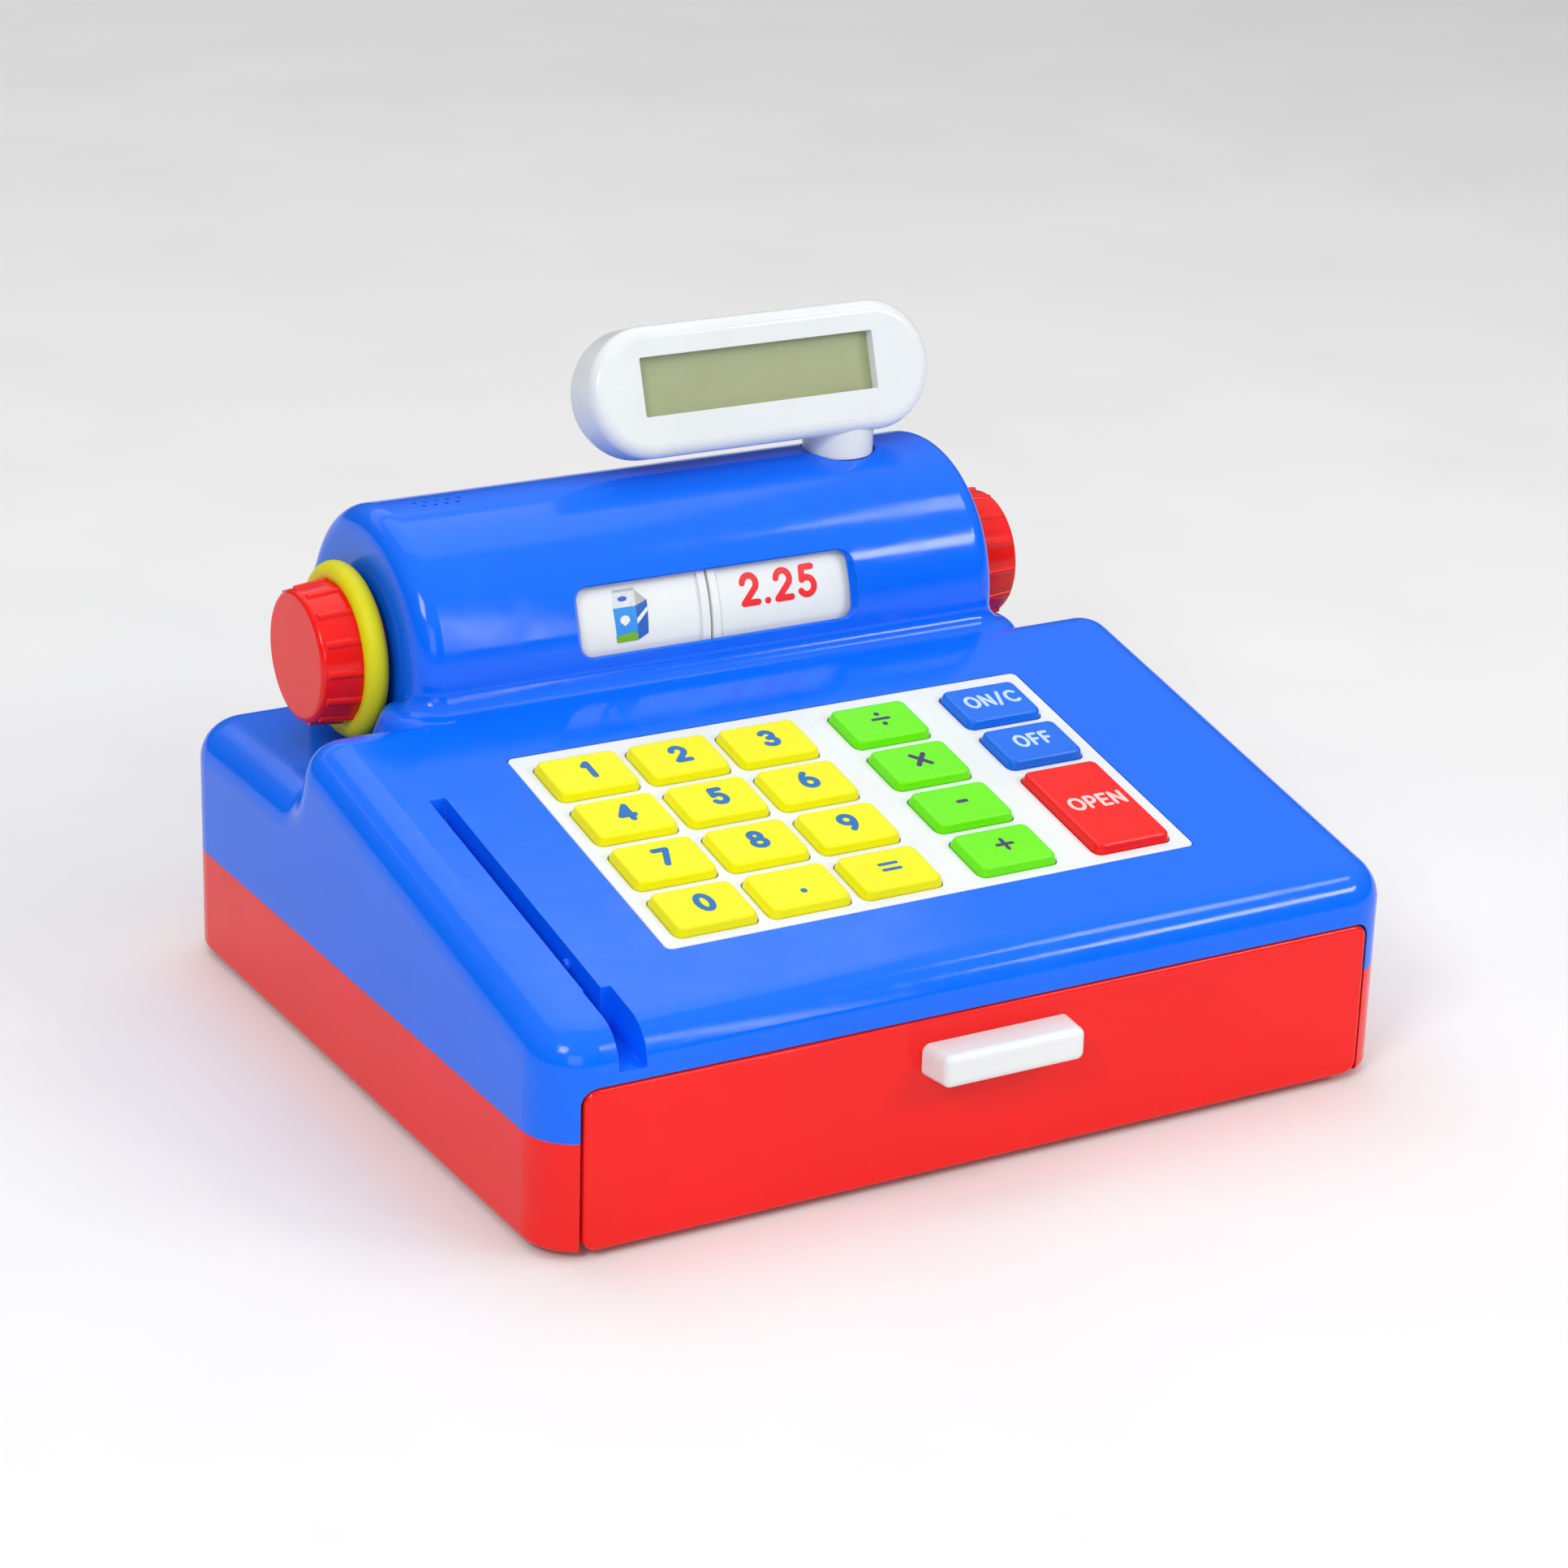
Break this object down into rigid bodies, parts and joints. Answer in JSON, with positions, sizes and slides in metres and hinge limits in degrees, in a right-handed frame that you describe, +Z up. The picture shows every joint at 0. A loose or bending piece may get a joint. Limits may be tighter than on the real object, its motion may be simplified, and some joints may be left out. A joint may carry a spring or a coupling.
{
  "type": "toy cash register",
  "caption": "Toy cash register: sloping calculator keypad over a sliding cash drawer, picture and price drums turned by side knobs, card slot, swivelling display.",
  "frame": {"origin": "centre of the bounding box at the underside of the feet", "axes": "+Z up, the drawer and keys face -Y, X runs along the hood to the right"},
  "size_m": [0.3, 0.28, 0.2091],
  "materials": {
    "blue_plastic": "glossy",
    "red_plastic": "glossy",
    "white_plastic": "satin gloss",
    "drum_white": "satin",
    "yellow_ring": "fine texture",
    "key_yellow": "semi-gloss",
    "key_green": "semi-gloss",
    "key_blue": "semi-gloss",
    "zinc_steel": "zinc plated",
    "spring_steel": "bright",
    "rubber_grey": "matte",
    "silicone": "matte translucent look",
    "circuit_board": "solder mask",
    "lcd": "glass over grey-green",
    "battery_wrap": "satin",
    "speaker_black": "matte",
    "nylon_natural": "satin"
  },
  "bodies": {
    "housing": {"upper_housing": "blue_plastic", "base_pan": "red_plastic", "battery_cover": "red_plastic", "battery_screw": "zinc_steel", "batteries": "battery_wrap", "battery_contacts": "spring_steel", "feet": "rubber_grey", "case_screws": "zinc_steel", "drawer_springs": "spring_steel", "key_panel": "white_plastic", "key_mat": "silicone", "keypad_board": "circuit_board", "board_screws": "zinc_steel", "latch_pin": "zinc_steel", "latch_spring": "spring_steel", "clicker_spring": "spring_steel", "clicker_cap": "nylon_natural", "detent_springs": "spring_steel", "detent_screws": "zinc_steel", "speaker": "speaker_black"},
    "drawer": {"drawer_tray": "red_plastic", "drawer_front": "red_plastic", "drawer_handle": "white_plastic", "drawer_screws": "zinc_steel", "handle_screws": "zinc_steel"},
    "item_selector": {"item_drum": "drum_white", "item_knob": "red_plastic", "knob_ring": "yellow_ring"},
    "price_selector": {"price_drum": "drum_white", "price_knob": "red_plastic", "drum_axle": "zinc_steel"},
    "display": {"display_front": "white_plastic", "display_back": "white_plastic", "lcd_glass": "lcd", "display_board": "circuit_board", "display_stem": "white_plastic", "stem_clip": "spring_steel", "display_screws": "zinc_steel"},
    "latch": {"latch_lever": "nylon_natural"},
    "clicker": {"card_clicker": "blue_plastic"},
    "key_1": {"key_1": "key_yellow"},
    "key_2": {"key_2": "key_yellow"},
    "key_3": {"key_3": "key_yellow"},
    "key_divide": {"key_divide": "key_green"},
    "key_on_clear": {"key_on_clear": "key_blue"},
    "key_4": {"key_4": "key_yellow"},
    "key_5": {"key_5": "key_yellow"},
    "key_6": {"key_6": "key_yellow"},
    "key_multiply": {"key_multiply": "key_green"},
    "key_off": {"key_off": "key_blue"},
    "key_7": {"key_7": "key_yellow"},
    "key_8": {"key_8": "key_yellow"},
    "key_9": {"key_9": "key_yellow"},
    "key_minus": {"key_minus": "key_green"},
    "key_open": {"key_open": "red_plastic"},
    "key_0": {"key_0": "key_yellow"},
    "key_point": {"key_point": "key_yellow"},
    "key_equals": {"key_equals": "key_yellow"},
    "key_plus": {"key_plus": "key_green"}
  },
  "joints": [
    {"name": "drawer_slide", "type": "slide", "parent": "housing", "child": "drawer", "axis": [0, -1, 0], "range_m": [0, 0.15]},
    {"name": "item_turn", "type": "hinge", "parent": "housing", "child": "item_selector", "pos_m": [-0.1075, 0.0905, 0.114], "axis": [1, 0, 0], "continuous": true},
    {"name": "price_turn", "type": "hinge", "parent": "housing", "child": "price_selector", "pos_m": [0.1075, 0.0905, 0.114], "axis": [1, 0, 0], "continuous": true},
    {"name": "display_swivel", "type": "hinge", "parent": "housing", "child": "display", "pos_m": [0.0693, 0.0905, 0.1582], "axis": [0, 0, 1], "range_deg": [0, 180]},
    {"name": "card_click", "type": "slide", "parent": "housing", "child": "clicker", "axis": [1, 0, 0], "range_m": [0, 0.0012], "stiffness_N_per_m": 300, "springref_m": -0.0005, "deforming": ["clicker_spring"]},
    {"name": "press_1", "type": "slide", "parent": "housing", "child": "key_1", "axis": [0, 0.2096, -0.9778], "range_m": [0, 0.002], "stiffness_N_per_m": 400, "springref_m": -0.0005},
    {"name": "press_2", "type": "slide", "parent": "housing", "child": "key_2", "axis": [0, 0.2096, -0.9778], "range_m": [0, 0.002], "stiffness_N_per_m": 400, "springref_m": -0.0005},
    {"name": "press_3", "type": "slide", "parent": "housing", "child": "key_3", "axis": [0, 0.2096, -0.9778], "range_m": [0, 0.002], "stiffness_N_per_m": 400, "springref_m": -0.0005},
    {"name": "press_divide", "type": "slide", "parent": "housing", "child": "key_divide", "axis": [0, 0.2096, -0.9778], "range_m": [0, 0.002], "stiffness_N_per_m": 400, "springref_m": -0.0005},
    {"name": "press_on_clear", "type": "slide", "parent": "housing", "child": "key_on_clear", "axis": [0, 0.2096, -0.9778], "range_m": [0, 0.002], "stiffness_N_per_m": 400, "springref_m": -0.0005},
    {"name": "press_4", "type": "slide", "parent": "housing", "child": "key_4", "axis": [0, 0.2096, -0.9778], "range_m": [0, 0.002], "stiffness_N_per_m": 400, "springref_m": -0.0005},
    {"name": "press_5", "type": "slide", "parent": "housing", "child": "key_5", "axis": [0, 0.2096, -0.9778], "range_m": [0, 0.002], "stiffness_N_per_m": 400, "springref_m": -0.0005},
    {"name": "press_6", "type": "slide", "parent": "housing", "child": "key_6", "axis": [0, 0.2096, -0.9778], "range_m": [0, 0.002], "stiffness_N_per_m": 400, "springref_m": -0.0005},
    {"name": "press_multiply", "type": "slide", "parent": "housing", "child": "key_multiply", "axis": [0, 0.2096, -0.9778], "range_m": [0, 0.002], "stiffness_N_per_m": 400, "springref_m": -0.0005},
    {"name": "press_off", "type": "slide", "parent": "housing", "child": "key_off", "axis": [0, 0.2096, -0.9778], "range_m": [0, 0.002], "stiffness_N_per_m": 400, "springref_m": -0.0005},
    {"name": "press_7", "type": "slide", "parent": "housing", "child": "key_7", "axis": [0, 0.2096, -0.9778], "range_m": [0, 0.002], "stiffness_N_per_m": 400, "springref_m": -0.0005},
    {"name": "press_8", "type": "slide", "parent": "housing", "child": "key_8", "axis": [0, 0.2096, -0.9778], "range_m": [0, 0.002], "stiffness_N_per_m": 400, "springref_m": -0.0005},
    {"name": "press_9", "type": "slide", "parent": "housing", "child": "key_9", "axis": [0, 0.2096, -0.9778], "range_m": [0, 0.002], "stiffness_N_per_m": 400, "springref_m": -0.0005},
    {"name": "press_minus", "type": "slide", "parent": "housing", "child": "key_minus", "axis": [0, 0.2096, -0.9778], "range_m": [0, 0.002], "stiffness_N_per_m": 400, "springref_m": -0.0005},
    {"name": "press_open", "type": "slide", "parent": "housing", "child": "key_open", "axis": [0, 0.2096, -0.9778], "range_m": [0, 0.002], "stiffness_N_per_m": 400, "springref_m": -0.0005},
    {"name": "press_0", "type": "slide", "parent": "housing", "child": "key_0", "axis": [0, 0.2096, -0.9778], "range_m": [0, 0.002], "stiffness_N_per_m": 400, "springref_m": -0.0005},
    {"name": "press_point", "type": "slide", "parent": "housing", "child": "key_point", "axis": [0, 0.2096, -0.9778], "range_m": [0, 0.002], "stiffness_N_per_m": 400, "springref_m": -0.0005},
    {"name": "press_equals", "type": "slide", "parent": "housing", "child": "key_equals", "axis": [0, 0.2096, -0.9778], "range_m": [0, 0.002], "stiffness_N_per_m": 400, "springref_m": -0.0005},
    {"name": "press_plus", "type": "slide", "parent": "housing", "child": "key_plus", "axis": [0, 0.2096, -0.9778], "range_m": [0, 0.002], "stiffness_N_per_m": 400, "springref_m": -0.0005},
    {"name": "latch_lift", "type": "hinge", "parent": "housing", "child": "latch", "pos_m": [0.07375, -0.051, 0.06], "axis": [1, 0, 0], "range_deg": [0, 10]}
  ],
  "couplings": [
    {"joint": "latch_lift", "follows": "press_open", "rad_per_m": 85}
  ]
}
